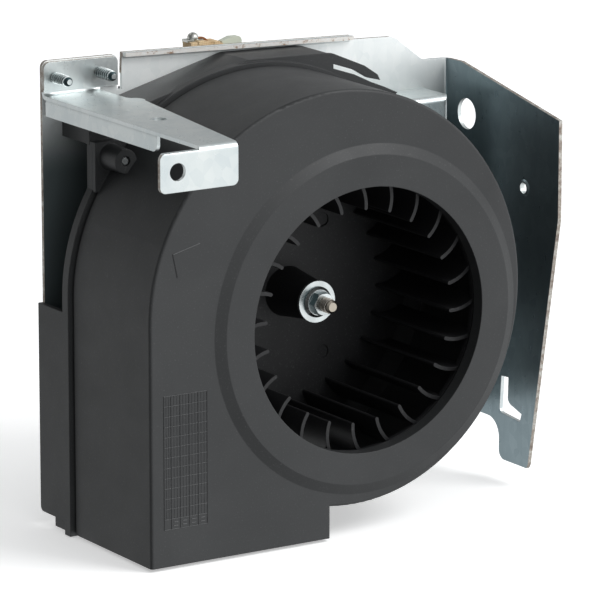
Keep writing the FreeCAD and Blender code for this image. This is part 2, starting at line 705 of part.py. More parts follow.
def arm_bracket():
    """Arm that reaches forward over the housing's corner to a front tab."""
    back = D.plate_front
    front = back - D.sheet
    top = D.arm_top
    under = top - D.sheet
    face = D.arm_front
    small, large = D.bend, D.bend + D.sheet
    left = D.plate_left
    side_view = [
        (face, 64.0), (face + D.sheet, 64.0), (face + D.sheet, under - small),
        (face + large, under, small, -1), (back - large, under), (back, under + large, large, 1),
        (back, 95.0), (front, 95.0), (front, top + small), (front - small, top, small, -1),
        (face + large, top), (face, top - large, large, 1),
    ]
    folded = pad("arm_folded", "YZ", [side_view], -112, -55)
    upright = [
        (left, 78.0), (-68.0, 78.0), (-68.0, top + 0.9), (-60.2, top + 0.9), (-60.2, 90.4),
        (-62.2, 92.4, 2.0, 1), (left + 2.5, 92.9), (left, 90.4, 2.5, 1),
    ]
    deck = [
        (left - 0.2, face - 1), (-76.2, face - 1), (-76.2, -28.5), (-64.9, 51.0),
        (-67.0, 57.5, 4.0, 1), (-68.0, 59.5), (-68.0, back + 1), (left - 0.2, back + 1),
    ]
    tab = [
        (-105.9, 65.2, 2.2, 1), (-78.4, 65.2), (-76.2, 67.4, 2.2, 1), (-76.2, top),
        (left - 0.2, top), (left - 0.2, 79.2), (-105.9, 79.2), (-108.1, 77.0, 2.2, 1),
        (-108.1, 67.4),
    ]
    keep = fuse("arm_keep", [
        pad("arm_keep_upright", "XZ", [upright], front - 2.5, back + 0.5),
        pad("arm_keep_deck", "XY", [deck], under - 2.6, top + 2.0),
        pad("arm_keep_tab", "XZ", [tab], face - 0.5, face + 3.2),
    ])
    shaped = common("arm_shaped", folded, keep)
    edge = side_edge(left, under, top, small, large)
    arm_hole = rod("arm_top_hole", (-78.8, 18.0), 2.75, under - 1, top + 1, "Z")
    tab_hole = rod("arm_tab_hole", (-101.0, 72.4), 3.2, face - 1, face + 3)
    holes = [arm_hole, tab_hole]
    for number, spot in enumerate(ARM_SCREWS):
        holes.append(rod("arm_thread_%d" % number, spot, 1.8, front - 1, back + 1))
    solid = fuse("arm_solid", [shaped, edge])
    return node("arm_bracket", cut("arm_bracket", solid, holes))


def side_edge(left, under, top, small, large):
    """Stiffening edge folded down along the arm's left side."""
    profile = [
        (left, 73.2), (left + D.sheet, 73.2), (left + D.sheet, under - small),
        (left + large, under, small, -1), (left + 6.0, under), (left + 6.0, top),
        (left + large, top), (left, top - large, large, 1),
    ]
    folded = pad("arm_edge_folded", "XZ", [profile], -1.5, 77.5)
    limit = pad("arm_edge_limit", "YZ", [[
        (1.0, 73.2, 2.5, 1), (77.5, 73.2), (77.5, 82.0), (-1.5, 82.0), (-1.5, 75.7),
    ]], left - 1, left + 7)
    return common("arm_edge", folded, limit)


def motor_pan():
    """Tray that carries the motor and the rear shell in front of the plate."""
    front = D.back_rear
    rear = D.plate_front
    outer = block("pan_outer", (D.pan_left, D.pan_right), (front, rear),
                  (D.pan_bottom, D.pan_top))
    outer_round = rounded("pan_round", outer, 2.5, at_pan_front)
    inner = block("pan_inner", (D.pan_left + D.sheet, D.pan_right - D.sheet),
                  (front + D.sheet, rear + 1),
                  (D.pan_bottom + D.sheet, D.pan_top - D.sheet))
    inner_round = rounded("pan_inner_round", inner, 1.2, at_pan_inner_front)
    shell = cut("pan_shell", outer_round, [inner_round])
    tools = [rod("pan_shaft_hole", (0, 0), 15.0, front - 1, front + 4)]
    for number, spot in enumerate(SIDE_BOSSES):
        tools.append(rod("pan_boss_hole_%d" % number, spot, 2.0, front - 1, front + 4))
    clear = deep_duct_clearance()
    tools.append(clear)
    return node("motor_pan", cut("motor_pan", shell, tools))


def deep_duct_clearance():
    """The pan's lower left corner stops short of the deep duct."""
    return block("duct_clearance", (D.pan_left - 1, D.duct_right + D.flange_proud + 1),
                 (D.back_rear - 1, D.plate_front + 1),
                 (D.pan_bottom - 1, D.duct_deep_top + 1))


def at_pan_front(edge):
    box = edge.BoundBox
    return box.YMax < D.back_rear.value + 0.01


def at_pan_inner_front(edge):
    box = edge.BoundBox
    return box.YMax < D.back_rear.value + D.sheet.value + 0.01


# ----------------------------------------------------------------------------
# Screws
# ----------------------------------------------------------------------------
def pan_head(name, spot, head_from, head_to, tip, shank_radius, head_radius, axis="Y"):
    """Pan-head screw; the head spans head_from to head_to, and the shank ends at tip."""
    low, high = min(head_from, head_to), max(head_from, head_to)
    head = rod(name + "_head", spot, head_radius, low, high, axis)
    if tip < low:
        top = rounded(name + "_dome", head, 0.9, circle_at(high))
        shank = rod(name + "_shank", spot, shank_radius, tip + 0.8, low, axis)
        point = cone(name + "_point", spot, shank_radius - 0.7, shank_radius, tip, tip + 0.8,
                     axis)
        socket = cross_recess(name, spot, high - 1.4, high + 0.5)
    else:
        top = rounded(name + "_dome", head, 0.6, circle_at(low))
        shank = rod(name + "_shank", spot, shank_radius, high, tip - 0.8, axis)
        point = cone(name + "_point", spot, shank_radius, shank_radius - 0.7, tip - 0.8, tip,
                     axis)
        socket = cross_recess(name, spot, low - 0.5, low + 1.0)
    return cut(name, fuse(name + "_solid", [top, shank, point]), [socket])


def circle_at(level):
    def picker(edge):
        box = edge.BoundBox
        return box.YLength < 0.001 and abs(box.YMin - level) < 0.001
    return picker


def cross_recess(name, spot, low, high):
    x, z = spot
    first = block(name + "_slot_a", (x - 1.9, x + 1.9), (low, high), (z - 0.4, z + 0.4))
    second = block(name + "_slot_b", (x - 0.4, x + 0.4), (low, high), (z - 1.9, z + 1.9))
    return fuse(name + "_recess", [first, second])


def screws():
    rear = D.back_rear.value
    sheet_rear = D.plate_front.value + D.sheet.value
    hole = D.boss_hole.value
    tip = D.screw_tip.value
    short = []
    for number, spot in enumerate([CORNER_BOSS, FOOT_BOSS]):
        short.append(pan_head("shell_screw_%d" % number, spot, rear, rear + 2.4, tip, hole, 3.6))
    node("shell_screws", group("shell_screws", short))
    long = []
    for number, spot in enumerate(SIDE_BOSSES):
        start = rear + D.sheet.value
        long.append(pan_head("pan_screw_%d" % number, spot, start, start + 2.4, tip, hole, 3.6))
    node("pan_screws", group("pan_screws", long))
    duct = []
    for number, spot in enumerate(DUCT_SCREWS):
        duct.append(pan_head("duct_screw_%d" % number, spot, sheet_rear, sheet_rear + 2.4, 71.5,
                             1.7, 3.6))
    node("duct_screws", group("duct_screws", duct))
    arm = []
    for number, spot in enumerate(ARM_SCREWS):
        arm.append(pan_head("arm_screw_%d" % number, spot, sheet_rear, sheet_rear + 2.4, 67.6,
                            1.7, 3.6))
    node("arm_screws", group("arm_screws", arm))


# ----------------------------------------------------------------------------
# The motor
# ----------------------------------------------------------------------------
def stator():
    half = D.core_half
    window = D.window_half
    outline = [
        (-half, D.core_bottom + 12), (-half + 12, D.core_bottom, 12, 1),
        (half - 12, D.core_bottom), (half, D.core_bottom + 12, 12, 1),
        (half, D.core_top), (window, D.core_top), (window, D.window_floor),
        (-window, D.window_floor), (-window, D.core_top), (-half, D.core_top),
    ]
    core = pad("core_outline", "XZ", [outline, ("circle", 0, 0, D.bore_radius)],
               D.core_front, D.core_rear)
    tools = []
    span = (D.core_front - 1, D.core_rear + 1)
    for side in (-1, 1):
        tools.append(rod("core_bolt", (D.bolt_x * side, 0), 2.05, span[0], span[1]))
        # narrow notch that parts the two poles above and below the bore
        notch = sorted((side * 25.0, side * 31.5))
        tools.append(block("pole_notch", (-1.2, 1.2), span, notch))
        for low, high in shade_legs(side):
            x = sorted((side * 8.0, side * SHADE_REACH))
            tools.append(block("shade_slot", x, span, (low, high)))
    node("stator_core", cut("stator_core", core, tools))
    limb = block("coil_limb", (-window, window), (D.core_front, D.core_rear),
                 (D.limb_bottom, D.core_top))
    node("coil_limb", limb)


SHADE_WIDTH = 1.8       # thickness of a shading ring's legs
SHADE_SPAN = 8.0        # height of the part of the pole that a ring surrounds
SHADE_LOW = 10.0        # from the shaft axis to the nearer leg
SHADE_REACH = 27.8      # from the shaft axis to the rings' outer ends


def shade_legs(side):
    """Height spans of the two legs of the ring on one side."""
    near = SHADE_LOW
    far = SHADE_LOW + SHADE_WIDTH + SHADE_SPAN
    return [sorted((side * low, side * (low + SHADE_WIDTH))) for low in (near, far)]


def shading_rings():
    """One closed copper ring round the shaded part of each pole."""
    front, rear = D.core_front.value, D.core_rear.value
    rings = []
    for side in (-1, 1):
        x = sorted((side * (SHADE_REACH - 3.2), side * SHADE_REACH))
        legs = shade_legs(side)
        z = (min(legs[0][0], legs[1][0]), max(legs[0][1], legs[1][1]))
        outer = block("shade_outer", x, (front - 2, rear + 2), z)
        inner = block("shade_inner", (x[0] - 1, x[1] + 1), (front, rear),
                      (z[0] + SHADE_WIDTH, z[1] - SHADE_WIDTH))
        rings.append(cut("shade_ring", outer, [inner]))
    return node("shading_rings", group("shading_rings", rings))


def coil():
    low = (D.core_front, D.limb_bottom)
    high = (D.core_rear, D.core_top)
    wall = 1.2
    grow = D.coil_grow

    def ring(name, inside, outside, x0, x1, radius):
        outer_loop = round_rect(low[0] - outside, high[0] + outside, low[1] - outside,
                                high[1] + outside, radius)
        outer = pad(name + "_outer", "YZ", [outer_loop], x0, x1)
        inner = block(name + "_inner", (as_size(x0) - 1, as_size(x1) + 1),
                      (low[0] - inside, high[0] + inside), (low[1] - inside, high[1] + inside))
        return cut(name, outer, [inner])

    def nested(name, inside, outside, x0, x1, inner_radius, outer_radius):
        outer_loop = round_rect(low[0] - outside, high[0] + outside, low[1] - outside,
                                high[1] + outside, outer_radius)
        inner_loop = round_rect(low[0] - inside, high[0] + inside, low[1] - inside,
                                high[1] + inside, inner_radius)
        return pad(name, "YZ", [outer_loop, inner_loop], x0, x1)

    end = 11.8
    thick = 1.3
    flange_grow = grow + 1.6
    top = D.core_top + grow + 0.6
    sleeve = ring("bobbin_sleeve", 0, wall, -end, end, 1.0)
    bobbin = [sleeve]
    for side in (-1, 1):
        x0, x1 = sorted((side * end, side * (end - thick)))
        bobbin.append(ring("bobbin_flange_%d" % (side + 1), 0, flange_grow, x0, x1, 4.0))
    bobbin.append(block("bobbin_shelf", (-end, end), (104, 114), (top, top + 1.8)))
    bobbin.append(pad("bobbin_ear", "XZ", [[
        (3.0, 81.0), (end, 81.0), (end, 86.6), (10.4, 88.8, 2.0, 1), (7.0, 88.8), (3.0, 87.4),
    ]], 107.5, 110.5))
    node("coil_bobbin", fuse("coil_bobbin", bobbin))
    edge = end - thick
    node("coil_winding", nested("coil_winding", wall, grow, -edge, edge, 1.0, 7.5))
    node("coil_tape", nested("coil_tape", grow, grow + 0.6, -edge, edge, 7.5, 8.1))
    shelf = top + 1.8
    node("thermal_fuse", pad("thermal_fuse", "XZ", [[
        (-11.2, shelf), (2.6, shelf), (2.6, 87.0), (-4.0, 88.4), (-11.7, 88.4),
    ]], 106.0, 112.5))
    # the fuse's lead is soldered to a small plate on top of it
    solder_plate = block("solder_plate", (-12.6, -5.6), (107.2, 111.4), (88.4, 89.3))
    dome = doc.addObject("Part::Sphere", "solder_dome")
    bind(dome, "Radius", 2.2)
    move_to(dome, -9.0, 109.3, 89.6)
    dome_limit = block("dome_limit", (-13, -5), (106, 112), (88.9, 93))
    solder = common("solder_cap", dome, dome_limit)
    node("coil_terminal", fuse("coil_terminal", [solder_plate, solder]))
    tabs = []
    rear = D.core_rear + flange_grow
    for number, z in enumerate((54.0, 65.0)):
        tabs.append(block("tab_%d" % number, (end - 1.05, end - 0.25), (rear, rear + 8.5),
                          (z, z + 4.8)))
    node("terminal_tabs", group("terminal_tabs", tabs))


def rotor():
    core = tube("rotor_core", (0, 0), D.shaft_radius, D.rotor_radius, D.core_front,
                D.core_rear)
    node("rotor_core", core)
    rings = [
        tube("end_ring_front", (0, 0), 13.0, D.rotor_radius - 0.6, D.core_front - 3.2,
             D.core_front),
        tube("end_ring_rear", (0, 0), 13.0, D.rotor_radius - 0.6, D.core_rear,
             D.core_rear + 3.2),
    ]
    node("rotor_end_rings", group("rotor_end_rings", rings))
    washers = [
        tube("thrust_front", (0, 0), D.shaft_radius, 5.6, FRONT_BEARING[1] + 2.0,
             D.core_front),
        tube("thrust_rear", (0, 0), D.shaft_radius, 5.6, D.core_rear,
             REAR_BEARING[0] - 2.0),
    ]
    node("thrust_spacers", group("thrust_spacers", washers))


FRONT_BEARING = (84.0, 92.0)
REAR_BEARING = (128.0, 136.0)


def bearing(name, span):
    ball = doc.addObject("Part::Sphere", name + "_ball")
    bind(ball, "Radius", D.bearing_radius)
    move_to(ball, 0, (span[0] + span[1]) / 2, 0)
    limit = rod(name + "_limit", (0, 0), D.bearing_radius + 1, span[0], span[1])
    trimmed = common(name + "_trimmed", ball, limit)
    way = rod(name + "_way", (0, 0), D.shaft_radius + D.running_gap, span[0] - 1, span[1] + 1)
    node(name, cut(name, trimmed, [way]))


def bearing_bracket(name, span, floor_side, bar, legs, through):
    """Cast bracket: a cup for the bearing on a bar between two legs."""
    middle = (span[0] + span[1]) / 2
    cup = rod(name + "_cup", (0, 0), 11.0, span[0] - 1.6, span[1] + 1.6)
    beam = block(name + "_beam", (-D.bolt_x, D.bolt_x), bar, (-6, 6))
    feet = []
    holes = []
    for side in (-1, 1):
        feet.append(rod(name + "_leg_%d" % (side + 1), (D.bolt_x * side, 0), 5.5, legs[0],
                        legs[1]))
        holes.append(rod(name + "_bolt_%d" % (side + 1), (D.bolt_x * side, 0), 2.0,
                         as_size(through[0]), through[1]))
    seat = doc.addObject("Part::Sphere", name + "_seat")
    bind(seat, "Radius", D.bearing_radius)
    move_to(seat, 0, middle, 0)
    pocket_span = (middle, span[1] + 3) if floor_side > 0 else (span[0] - 3, middle)
    pocket = rod(name + "_pocket", (0, 0), D.bearing_radius, pocket_span[0], pocket_span[1])
    wide = (span[1], span[1] + 3) if floor_side > 0 else (span[0] - 3, span[0])
    clip_room = rod(name + "_clip_room", (0, 0), 9.4, wide[0], wide[1])
    way = rod(name + "_way", (0, 0), 4.2, span[0] - 4, span[1] + 4)
    solid = fuse(name + "_solid", [cup, beam] + feet)
    node(name, cut(name, solid, [seat, pocket, clip_room, way] + holes))


def bearing_supports():
    front, rear = D.core_front, D.core_rear
    start = D.plate_front + D.sheet
    bearing("front_bearing", FRONT_BEARING)
    bearing("rear_bearing", REAR_BEARING)
    bearing_bracket("front_bearing_bracket", FRONT_BEARING, -1, (85.0, 91.0), (start, front),
                    (start - 1, front + 1))
    bearing_bracket("rear_bearing_bracket", REAR_BEARING, 1, (126.5, 132.0), (rear, 132.0),
                    (rear - 1, 133))
    clips = []
    for number, low in enumerate((FRONT_BEARING[0] - 0.5, REAR_BEARING[1])):
        clips.append(tube("clip_%d" % number, (0, 0), 4.0, 9.4, low, low + 0.5))
    node("bearing_clips", group("bearing_clips", clips))


def motor_fasteners():
    """Two long bolts clamp both brackets and the stack to the rear plate."""
    seat = 132.0
    washers = []
    bolts = []
    for side in (-1, 1):
        spot = (D.bolt_x.value * side, 0.0)
        washers.append(tube("bolt_washer_%d" % (side + 1), spot, 2.0, 3.9, seat, seat + 0.9))
        bolts.append(pan_head("through_bolt_%d" % (side + 1), spot, seat + 0.9, seat + 3.5,
                              D.plate_front.value, 2.0, 3.8))
    node("bolt_washers", group("bolt_washers", washers))
    node("through_bolts", group("through_bolts", bolts))


# ----------------------------------------------------------------------------
# Build, check and export
# ----------------------------------------------------------------------------
front_shell()
rear_shell()
impeller()
wheel_fastening()
shaft()
rear_plate()
arm_bracket()
motor_pan()
screws()
stator()
shading_rings()
coil()
rotor()
bearing_supports()
motor_fasteners()
doc.recompute()

for item in doc.Objects:
    if "Invalid" in item.State or "Error" in item.State:
        raise RuntimeError("%s failed: %s" % (item.Label, item.State))

os.makedirs("parts", exist_ok=True)
for item in nodes:
    shape = item.Shape
    if shape.isNull() or not shape.isValid() or not shape.Solids:
        raise RuntimeError(item.Label + " is not a valid solid")
    shape.exportStep("parts/%s.step" % item.Label)
    box = shape.BoundBox
    print("%-24s solids %2d  volume %9.0f  x %6.1f %6.1f  y %6.1f %6.1f  z %6.1f %6.1f" % (
        item.Label, len(shape.Solids), shape.Volume, box.XMin, box.XMax, box.YMin, box.YMax,
        box.ZMin, box.ZMax))
print(len(nodes), "nodes")
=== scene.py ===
"""Visual model of a combustion fan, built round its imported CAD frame. Lengths in metres."""
import math

import bmesh
import bpy
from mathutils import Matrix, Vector


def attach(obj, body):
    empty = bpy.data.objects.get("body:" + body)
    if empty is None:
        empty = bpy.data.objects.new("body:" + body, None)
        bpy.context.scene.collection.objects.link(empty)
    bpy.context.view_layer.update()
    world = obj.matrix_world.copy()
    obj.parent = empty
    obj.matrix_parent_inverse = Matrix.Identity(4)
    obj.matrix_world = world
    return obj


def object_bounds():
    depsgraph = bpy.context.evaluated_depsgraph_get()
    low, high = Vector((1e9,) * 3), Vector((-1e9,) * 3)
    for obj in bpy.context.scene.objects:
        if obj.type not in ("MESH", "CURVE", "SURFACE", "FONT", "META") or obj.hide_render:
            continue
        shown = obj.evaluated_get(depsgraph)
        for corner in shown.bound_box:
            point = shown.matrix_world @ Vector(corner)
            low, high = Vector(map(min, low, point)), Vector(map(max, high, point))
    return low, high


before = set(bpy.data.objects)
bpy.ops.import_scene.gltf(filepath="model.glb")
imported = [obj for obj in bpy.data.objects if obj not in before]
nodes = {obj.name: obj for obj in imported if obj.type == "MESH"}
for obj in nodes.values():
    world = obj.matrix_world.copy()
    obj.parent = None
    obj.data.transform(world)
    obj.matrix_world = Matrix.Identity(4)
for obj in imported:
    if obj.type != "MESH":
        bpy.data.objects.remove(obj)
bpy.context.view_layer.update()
MM = 0.001
scene = bpy.context.scene


# ---------------------------------------------------------------------------
# Camera, lights and floor
# ---------------------------------------------------------------------------
CAMERA_PLACE = (-0.9442, -1.4287, 0.4113)
CAMERA_TURN = -32.6     # degrees round Z
CAMERA_DOWN = 13.26     # degrees below level that it looks
LENS = 288              # focal length in mm, on a 36 mm sensor
WORLD_DIM = 0.15        # brightness behind the fan and on its left
WORLD_FRONT = 1.33      # brightness in front of it, on the right
WORLD_TOP = 0.08        # brightness added overhead
WORLD_RIGHT = 0.27      # brightness added behind on the right
WORLD_LEFT = 0.60       # brightness added low down behind on the left
FLOOR_REACH = 6.0       # half the floor's side
FLOOR_DROP = 0.0004     # gap between the fan's lowest point and the floor
FLOOR_GLOW = 0.42       # light of its own, which keeps it pale


def make_camera():
    data = bpy.data.cameras.new("camera")
    data.lens = LENS
    data.sensor_width = 36
    data.clip_start = 0.01
    data.clip_end = 50
    camera = bpy.data.objects.new("camera", data)
    camera.location = CAMERA_PLACE
    camera.rotation_euler = (math.radians(90 - CAMERA_DOWN), 0, math.radians(CAMERA_TURN))
    scene.collection.objects.link(camera)
    scene.camera = camera


def area_light(name, place, width, height, power):
    """A soft lamp that looks at the origin."""
    data = bpy.data.lights.new(name, "AREA")
    data.shape = "RECTANGLE"
    data.size = width
    data.size_y = height
    data.energy = power
    lamp = bpy.data.objects.new(name, data)
    lamp.location = place
    lamp.rotation_euler = (-Vector(place)).to_track_quat("-Z", "Y").to_euler()
    scene.collection.objects.link(lamp)


def make_world():
    """Soft studio surroundings: bright in front on the right, dim behind the fan."""
    world = bpy.data.worlds.new("studio")
    world.use_nodes = True
    tree = world.node_tree
    direction = tree.nodes.new("ShaderNodeTexCoord").outputs["Generated"]

    def towards(aim, low, high, dim, bright):
        """Strength that rises from dim to bright as a ray's share along aim goes low to high."""
        dot = tree.nodes.new("ShaderNodeVectorMath")
        dot.operation = "DOT_PRODUCT"
        dot.inputs[1].default_value = Vector(aim).normalized()
        tree.links.new(direction, dot.inputs[0])
        scale = tree.nodes.new("ShaderNodeMapRange")
        scale.interpolation_type = "SMOOTHSTEP"
        tree.links.new(dot.outputs["Value"], scale.inputs["Value"])
        for socket, value in (("From Min", low), ("From Max", high), ("To Min", dim),
                              ("To Max", bright)):
            scale.inputs[socket].default_value = value
        return scale.outputs["Result"]

    total = towards((0.6, -0.78, 0.1), -0.2, 0.95, WORLD_DIM, WORLD_FRONT)
    for extra in (towards((0, 0, 1), 0.15, 0.95, 0, WORLD_TOP),
                  towards((0.5, 0.85, 0.2), 0.5, 0.95, 0, WORLD_RIGHT),
                  towards((-0.6, 0.75, -0.3), 0.66, 0.97, 0, WORLD_LEFT)):
        add = tree.nodes.new("ShaderNodeMath")
        add.operation = "ADD"
        tree.links.new(total, add.inputs[0])
        tree.links.new(extra, add.inputs[1])
        total = add.outputs[0]
    tree.links.new(total, tree.nodes["Background"].inputs["Strength"])
    tree.nodes["Background"].inputs["Color"].default_value = (0.97, 0.99, 1, 1)
    scene.world = world


def make_floor():
    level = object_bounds()[0].z - FLOOR_DROP
    mesh = bmesh.new()
    turns = ((-1, -1), (1, -1), (1, 1), (-1, 1))
    mesh.faces.new([mesh.verts.new((x * FLOOR_REACH, y * FLOOR_REACH, level))
                    for x, y in turns])
    floor = add_mesh("floor", mesh)
    material = Material("floor_paint", (0.93, 0.93, 0.93), 0.75)
    material.shader.inputs["Emission Color"].default_value = (1, 1, 1, 1)
    material.shader.inputs["Emission Strength"].default_value = FLOOR_GLOW
    floor.data.materials.append(material.made)
    floor.visible_glossy = False
    floor.visible_diffuse = False


# ---------------------------------------------------------------------------
# Mesh helpers
# ---------------------------------------------------------------------------
def add_mesh(name, mesh):
    data = bpy.data.meshes.new(name)
    bmesh.ops.recalc_face_normals(mesh, faces=mesh.faces)
    mesh.to_mesh(data)
    mesh.free()
    item = bpy.data.objects.new(name, data)
    scene.collection.objects.link(item)
    return item


def add_corners(mesh, spots):
    """One closed box from eight corners in millimetres, in x, y, z counting order."""
    corners = [mesh.verts.new(Vector(spot) * MM) for spot in spots]
    for side in ((0, 1, 3, 2), (4, 6, 7, 5), (0, 4, 5, 1), (2, 3, 7, 6), (0, 2, 6, 4),
                 (1, 5, 7, 3)):
        mesh.faces.new([corners[i] for i in side])


def add_box(mesh, low, high):
    add_corners(mesh, [(x, y, z) for x in (low[0], high[0]) for y in (low[1], high[1])
                       for z in (low[2], high[2])])


def add_bar(mesh, first, last, width, low, high):
    """A straight bar between two (x, z) points, from low to high along Y."""
    along = (Vector(last) - Vector(first)).normalized() * width / 2
    aside = Vector((-along.y, along.x))
    spots = []
    for end in (Vector(first), Vector(last)):
        for y in (low, high):
            for side in (-1, 1):
                spot = end + aside * side
                spots.append((spot.x, y, spot.y))
    add_corners(mesh, spots)


def add_thread(mesh, centre, root, crest, low, high, pitch, spread=0.25, steps=28):
    """A helical ridge round an axis along Y, tapered to nothing at both ends.

    The spread is half the ridge's width at its root, as a share of the pitch, and the steps
    are the sections in one turn.
    """
    sunk = root - 0.12      # the ridge starts a little inside the core
    flat = 0.05             # half the width of the crest, as a share of the pitch
    turns = (high - low) / pitch
    count = int(turns * steps)
    before = None
    for i in range(count + 1):
        angle = 2 * math.pi * i / steps
        y = low + pitch * i / steps
        fade = min(1.0, i / steps * 2, (count - i) / steps * 2)
        top = root + (crest - root) * max(fade, 0.02)
        section = []
        for radius, along in ((sunk, -spread), (top, -flat), (top, flat), (sunk, spread)):
            section.append(mesh.verts.new((
                (centre[0] + radius * math.cos(angle)) * MM,
                (y + along * pitch) * MM,
                (centre[1] + radius * math.sin(angle)) * MM)))
        if before:
            for j in range(4):
                k = (j + 1) % 4
                mesh.faces.new([before[j], before[k], section[k], section[j]])
        else:
            mesh.faces.new(section)
        before = section
    mesh.faces.new(list(reversed(before)))


def tube_along(name, points, radius):
    """A round wire through points, in millimetres."""
    data = bpy.data.curves.new(name, "CURVE")
    data.dimensions = "3D"
    data.bevel_depth = radius * MM
    data.bevel_resolution = 4
    data.use_fill_caps = True
    spline = data.splines.new("NURBS")
    spline.points.add(len(points) - 1)
    for point, spot in zip(spline.points, points):
        point.co = (spot[0] * MM, spot[1] * MM, spot[2] * MM, 1)
    spline.order_u = 3
    spline.use_endpoint_u = True
    item = bpy.data.objects.new(name, data)
    scene.collection.objects.link(item)
    return item


def finish_piece(item, material, body):
    item.data.materials.append(material.made)
    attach(item, body)
    return item


# ---------------------------------------------------------------------------
# Materials
# ---------------------------------------------------------------------------
class Material:
    """A procedural material; patterns are read in the row frame, in metres."""

    def __init__(self, name, colour, roughness, metallic=0.0):
        self.made = bpy.data.materials.new(name)
        self.made.use_nodes = True
        self.tree = self.made.node_tree
        self.shader = self.tree.nodes["Principled BSDF"]
        self.shader.inputs["Base Color"].default_value = (*colour, 1)
        self.shader.inputs["Roughness"].default_value = roughness
        self.shader.inputs["Metallic"].default_value = metallic
        self.made.diffuse_color = (*colour, 1)
        self.place = self.tree.nodes.new("ShaderNodeTexCoord").outputs["Object"]
        self.normal = None

    def link(self, source, target):
        self.tree.links.new(source, target)

    def scaled(self, x, y, z):
        node = self.tree.nodes.new("ShaderNodeMapping")
        node.inputs["Scale"].default_value = (x, y, z)
        self.link(self.place, node.inputs["Vector"])
        return node.outputs["Vector"]

    def noise(self, scale, detail=3.0, rough=0.5, stretch=(1, 1, 1), distortion=0.0):
        node = self.tree.nodes.new("ShaderNodeTexNoise")
        self.link(self.scaled(*stretch), node.inputs["Vector"])
        node.inputs["Scale"].default_value = scale
        node.inputs["Detail"].default_value = detail
        node.inputs["Roughness"].default_value = rough
        node.inputs["Distortion"].default_value = distortion
        return node.outputs["Fac"]

    def cells(self, scale, stretch=(1, 1, 1)):
        node = self.tree.nodes.new("ShaderNodeTexVoronoi")
        self.link(self.scaled(*stretch), node.inputs["Vector"])
        node.inputs["Scale"].default_value = scale
        grey = self.tree.nodes.new("ShaderNodeSeparateColor")
        self.link(node.outputs["Color"], grey.inputs["Color"])
        return grey.outputs["Red"]

    def bands(self, axis, period, distortion=0.0):
        """Waves along an axis, one per period in metres."""
        node = self.tree.nodes.new("ShaderNodeTexWave")
        node.bands_direction = axis
        node.wave_profile = "SIN"
        self.link(self.place, node.inputs["Vector"])
        node.inputs["Scale"].default_value = math.pi / 10 / period
        node.inputs["Distortion"].default_value = distortion
        return node.outputs["Fac"]

    def ramp(self, source, *stops):
        """Colour ramp; each stop is (position, colour or number)."""
        node = self.tree.nodes.new("ShaderNodeValToRGB")
        self.link(source, node.inputs["Fac"])
        points = node.color_ramp.elements
        while len(points) < len(stops):
            points.new(0.5)
        for point, (position, value) in zip(points, stops):
            point.position = position
            if isinstance(value, (int, float)):
                value = (value, value, value)
            point.color = (*value, 1)
        return node.outputs["Color"]

    def blend(self, kind, amount, first, second):
        node = self.tree.nodes.new("ShaderNodeMix")
        node.data_type = "RGBA"
        node.blend_type = kind
        if isinstance(amount, (int, float)):
            node.inputs["Factor"].default_value = amount
        else:
            self.link(amount, node.inputs["Factor"])
        for socket, value in (("A", first), ("B", second)):
            target = [s for s in node.inputs if s.name == socket and s.type == "RGBA"][0]
            if isinstance(value, tuple):
                target.default_value = (*value, 1)
            else:
                self.link(value, target)
        return [s for s in node.outputs if s.type == "RGBA"][0]

    def colour(self, source):
        self.link(source, self.shader.inputs["Base Color"])
        return self

    def rough(self, source, low, high):
        node = self.tree.nodes.new("ShaderNodeMapRange")
        self.link(source, node.inputs["Value"])
        node.inputs["To Min"].default_value = low
        node.inputs["To Max"].default_value = high
        self.link(node.outputs["Result"], self.shader.inputs["Roughness"])
        return self

    def soft_edges(self, radius):
        """Rounds off hard edges in the shading; radius in metres."""
        node = self.tree.nodes.new("ShaderNodeBevel")
        node.samples = 4
        node.inputs["Radius"].default_value = radius
        self.normal = node.outputs["Normal"]
        self.link(self.normal, self.shader.inputs["Normal"])
        return self

    def bump(self, source, depth, strength=1.0):
        """Adds a height pattern; depth in metres."""
        node = self.tree.nodes.new("ShaderNodeBump")
        node.inputs["Strength"].default_value = strength
        node.inputs["Distance"].default_value = depth
        self.link(source, node.inputs["Height"])
        if self.normal is not None:
            self.link(self.normal, node.inputs["Normal"])
        self.normal = node.outputs["Normal"]
        self.link(self.normal, self.shader.inputs["Normal"])
        return self


def moulded(name, dark, pale, roughness, edge=0.0005):
    """Moulded plastic: faint flow marks, fine grain, satin gloss."""
    made = Material(name, dark, roughness)
    flow = made.noise(26, 3, 0.55, (1, 0.45, 1), 0.6)
    tint = made.ramp(flow, (0.3, dark), (0.72, pale))
    specks = made.ramp(made.noise(1500, 2, 0.6), (0.60, 0.0), (0.78, 0.035))
    made.colour(made.blend("ADD", 1.0, tint, specks))
    made.rough(made.noise(90, 4, 0.6), roughness - 0.07, roughness + 0.09)
    made.shader.inputs["Specular IOR Level"].default_value = 0.36
    made.soft_edges(edge)
    made.bump(made.noise(2600, 2, 0.5), 0.00004, 0.55)
    made.bump(made.noise(120, 2, 0.5), 0.00012, 0.25)
    return made


def zinc_sheet(name, pale, dark, roughness):
    """Zinc-coated sheet: rolled grain, faint spangle and light stains."""
    made = Material(name, pale, roughness, 0.86)
    spangle = made.ramp(made.cells(300, (1, 1, 0.7)), (0.0, dark), (1.0, pale))
    stain = made.ramp(made.noise(60, 4, 0.6, (1, 1, 0.4)), (0.35, pale), (0.75, dark))
    made.colour(made.blend("MIX", 0.55, spangle, stain))
    grain = made.noise(420, 3, 0.6, (1.6, 1.6, 0.4))
    made.rough(grain, roughness - 0.09, roughness + 0.11)
    made.soft_edges(0.0002)
    made.bump(grain, 0.00002, 0.35)
    made.bump(made.noise(45, 2, 0.5), 0.0002, 0.12)
    return made


